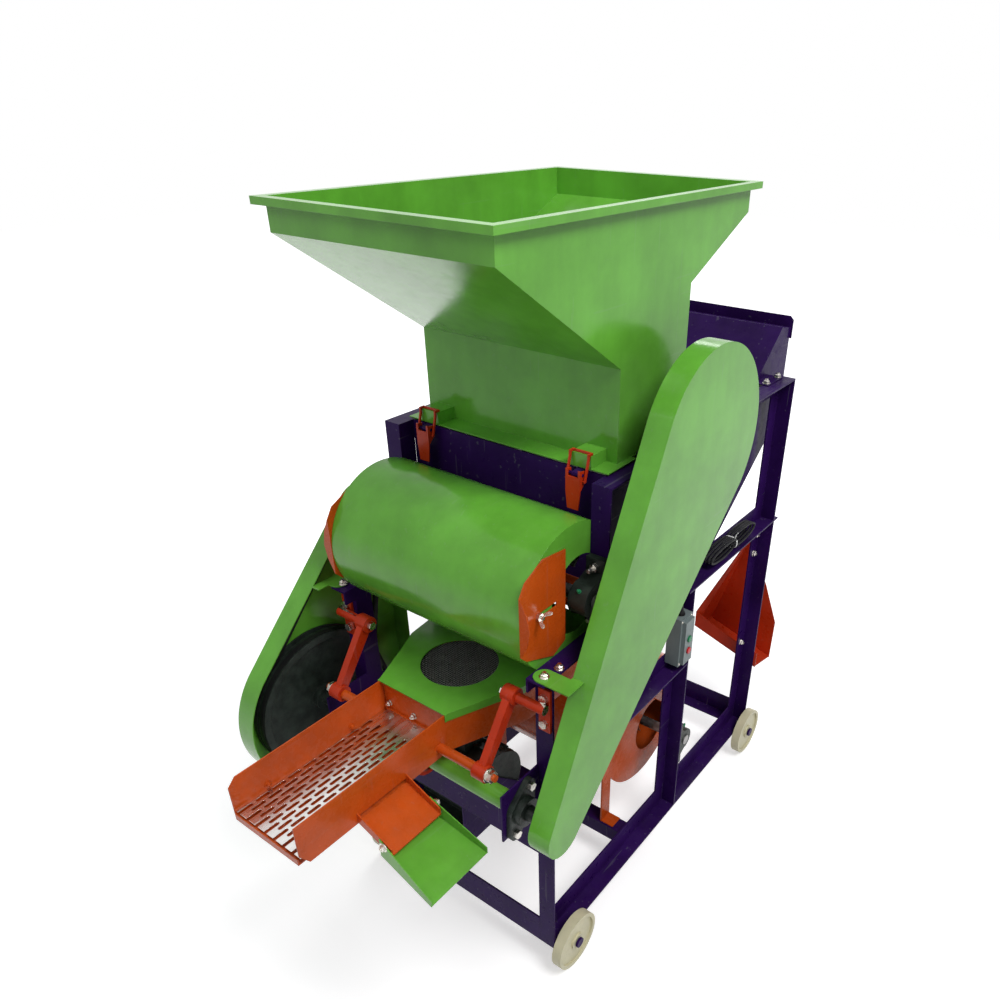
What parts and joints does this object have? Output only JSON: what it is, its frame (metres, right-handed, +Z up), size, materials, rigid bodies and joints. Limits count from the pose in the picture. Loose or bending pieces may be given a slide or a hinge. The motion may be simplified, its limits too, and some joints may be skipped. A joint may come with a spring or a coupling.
{
  "type": "peanut sheller",
  "caption": "Wheeled peanut sheller: hopper over a belt-driven drum, fan, shaking sieve and blower on an angle-iron frame, with discharge chutes and a rear shell duct.",
  "frame": {"origin": "bottom centre of the machine's bounding box, on the floor", "axes": "+Z up, +X to the machine's right seen from the sieve tray looking at the machine's rear, +Y from the sieve tray to the shell duct's outlet"},
  "size_m": [0.7, 1.486, 1.57],
  "materials": {
    "purple_frame": "semi-gloss enamel on welded angle iron and sheet",
    "green_enamel": "gloss enamel on folded sheet",
    "orange_enamel": "gloss enamel on folded sheet",
    "red_enamel": "semi-gloss enamel on forged and welded links",
    "black_iron": "painted cast iron",
    "steel": "bare turned and welded steel",
    "screen_steel": "bright punched sheet",
    "rubber": "matt black belt rubber and cable sheath",
    "nylon": "cream moulded nylon",
    "box_grey": "grey moulded case",
    "start_green": "green push button",
    "stop_red": "red push button"
  },
  "bodies": {
    "frame": {"base_frame": "purple_frame", "side_frame_right": "purple_frame", "side_frame_left": "purple_frame", "front_mid_rail": "purple_frame", "chamber_housing": "purple_frame", "shell_duct": "purple_frame", "hopper": "green_enamel", "fan_cover": "green_enamel", "guard_right": "green_enamel", "guard_left": "green_enamel", "shaft_cover_right": "green_enamel", "shaft_cover_left": "green_enamel", "rear_chute": "orange_enamel", "blower_casing": "orange_enamel", "rocker_bracket_right": "red_enamel", "rocker_bracket_left": "red_enamel", "motor": "black_iron", "drum_bearing_right": "black_iron", "drum_bearing_left": "black_iron", "fan_bearing_right": "black_iron", "fan_bearing_left": "black_iron", "drive_bearing_right": "black_iron", "drive_bearing_left": "black_iron", "blower_bearing_right": "black_iron", "blower_bearing_left": "black_iron", "drum_grate": "steel", "drum_belt": "rubber", "fan_belt": "rubber", "motor_belt": "rubber", "blower_belt": "rubber", "cable_lead": "rubber", "cable_hank": "rubber", "switch_box": "box_grey"},
    "drum": {"drum": "steel"},
    "fan": {"fan_rotor": "steel"},
    "drive": {"drive_shaft": "black_iron"},
    "motor_shaft": {"motor_pulley": "black_iron"},
    "blower": {"blower_rotor": "steel"},
    "sieve": {"sieve_box": "orange_enamel", "sieve_screen": "screen_steel", "sieve_cover": "green_enamel", "connecting_rod": "red_enamel"},
    "kernel_tray": {"kernel_chute": "green_enamel"},
    "start_push": {"start_button": "start_green"},
    "stop_push": {"stop_button": "stop_red"},
    "swing_link_front_right": {"link_front_right": "red_enamel"},
    "swing_link_rear_right": {"link_rear_right": "red_enamel"},
    "shutter_right": {"shutter_right": "orange_enamel"},
    "latch_lever_right": {"latch_lever_right": "red_enamel"},
    "latch_bail_right": {"latch_bail_right": "red_enamel"},
    "wheel_front_right": {"wheel_front_right": "nylon"},
    "wheel_rear_right": {"wheel_rear_right": "nylon"},
    "swing_link_front_left": {"link_front_left": "red_enamel"},
    "swing_link_rear_left": {"link_rear_left": "red_enamel"},
    "shutter_left": {"shutter_left": "orange_enamel"},
    "latch_lever_left": {"latch_lever_left": "red_enamel"},
    "latch_bail_left": {"latch_bail_left": "red_enamel"},
    "wheel_front_left": {"wheel_front_left": "nylon"},
    "wheel_rear_left": {"wheel_rear_left": "nylon"}
  },
  "joints": [
    {"name": "drive_spin", "type": "hinge", "parent": "frame", "child": "drive", "pos_m": [0, -0.379, 0.553], "axis": [1, 0, 0], "continuous": true},
    {"name": "drum_spin", "type": "hinge", "parent": "frame", "child": "drum", "pos_m": [0, 0.048, 1.1655], "axis": [1, 0, 0], "continuous": true},
    {"name": "fan_spin", "type": "hinge", "parent": "frame", "child": "fan", "pos_m": [0, -0.1888, 0.93], "axis": [1, 0, 0], "continuous": true},
    {"name": "motor_spin", "type": "hinge", "parent": "frame", "child": "motor_shaft", "pos_m": [0, -0.192, 0.3303], "axis": [1, 0, 0], "continuous": true},
    {"name": "blower_spin", "type": "hinge", "parent": "frame", "child": "blower", "pos_m": [0, 0.2425, 0.29], "axis": [1, 0, 0], "continuous": true},
    {"name": "rocker_front_right", "type": "hinge", "parent": "frame", "child": "swing_link_front_right", "pos_m": [0.194, -0.334, 0.772], "axis": [1, 0, 0], "range_deg": [-1.9, 1.9]},
    {"name": "rocker_rear_right", "type": "hinge", "parent": "frame", "child": "swing_link_rear_right", "pos_m": [0.194, 0.173, 0.772], "axis": [1, 0, 0], "range_deg": [-1.9, 1.9]},
    {"name": "rocker_front_left", "type": "hinge", "parent": "frame", "child": "swing_link_front_left", "pos_m": [-0.194, -0.334, 0.772], "axis": [1, 0, 0], "range_deg": [-1.9, 1.9]},
    {"name": "rocker_rear_left", "type": "hinge", "parent": "frame", "child": "swing_link_rear_left", "pos_m": [-0.194, 0.173, 0.772], "axis": [1, 0, 0], "range_deg": [-1.9, 1.9]},
    {"name": "sieve_swing", "type": "hinge", "parent": "swing_link_front_right", "child": "sieve", "pos_m": [0.194, -0.422, 0.65], "axis": [1, 0, 0], "range_deg": [-1.9, 1.9]},
    {"name": "kernel_tray_tilt", "type": "hinge", "parent": "sieve", "child": "kernel_tray", "pos_m": [0.152, -0.566, 0.613], "axis": [0, 1, 0], "range_deg": [-12, 25]},
    {"name": "wheel_spin_front_right", "type": "hinge", "parent": "frame", "child": "wheel_front_right", "pos_m": [0.2895, -0.261, 0.06647], "axis": [1, 0, 0], "continuous": true},
    {"name": "wheel_spin_rear_right", "type": "hinge", "parent": "frame", "child": "wheel_rear_right", "pos_m": [0.2895, 0.615, 0.06647], "axis": [1, 0, 0], "continuous": true},
    {"name": "wheel_spin_front_left", "type": "hinge", "parent": "frame", "child": "wheel_front_left", "pos_m": [-0.2895, -0.261, 0.06647], "axis": [1, 0, 0], "continuous": true},
    {"name": "wheel_spin_rear_left", "type": "hinge", "parent": "frame", "child": "wheel_rear_left", "pos_m": [-0.2895, 0.615, 0.06647], "axis": [1, 0, 0], "continuous": true},
    {"name": "start_press", "type": "slide", "parent": "frame", "child": "start_push", "axis": [-1, 0, 0], "range_m": [0, 0.0025], "stiffness_N_per_m": 900, "springref_m": -0.001},
    {"name": "stop_press", "type": "slide", "parent": "frame", "child": "stop_push", "axis": [-1, 0, 0], "range_m": [0, 0.0025], "stiffness_N_per_m": 900, "springref_m": -0.001},
    {"name": "shutter_slide_right", "type": "slide", "parent": "frame", "child": "shutter_right", "axis": [0, -1, 0], "range_m": [0, 0.045]},
    {"name": "latch_swing_right", "type": "hinge", "parent": "frame", "child": "latch_lever_right", "pos_m": [0.185, -0.129, 1.132], "axis": [-1, 0, 0], "range_deg": [0, 150]},
    {"name": "bail_swing_right", "type": "hinge", "parent": "latch_lever_right", "child": "latch_bail_right", "pos_m": [0.185, -0.129, 1.121], "axis": [-1, 0, 0], "range_deg": [-150, 0]},
    {"name": "shutter_slide_left", "type": "slide", "parent": "frame", "child": "shutter_left", "axis": [0, -1, 0], "range_m": [0, 0.045]},
    {"name": "latch_swing_left", "type": "hinge", "parent": "frame", "child": "latch_lever_left", "pos_m": [-0.185, -0.129, 1.132], "axis": [-1, 0, 0], "range_deg": [0, 150]},
    {"name": "bail_swing_left", "type": "hinge", "parent": "latch_lever_left", "child": "latch_bail_left", "pos_m": [-0.185, -0.129, 1.121], "axis": [-1, 0, 0], "range_deg": [-150, 0]}
  ],
  "couplings": [
    {"joint": "drum_spin", "follows": "drive_spin", "ratio": 0.24324},
    {"joint": "fan_spin", "follows": "drive_spin", "ratio": 3.8395},
    {"joint": "motor_spin", "follows": "drive_spin", "ratio": 3.4176},
    {"joint": "blower_spin", "follows": "drive_spin", "ratio": 3.4176},
    {"joint": "rocker_front_left", "follows": "rocker_front_right", "ratio": 1},
    {"joint": "rocker_rear_right", "follows": "rocker_front_right", "ratio": 1},
    {"joint": "rocker_rear_left", "follows": "rocker_front_right", "ratio": 1},
    {"joint": "sieve_swing", "follows": "rocker_front_right", "ratio": -1},
    {"joint": "bail_swing_right", "follows": "latch_swing_right", "ratio": -1},
    {"joint": "bail_swing_left", "follows": "latch_swing_left", "ratio": -1}
  ]
}
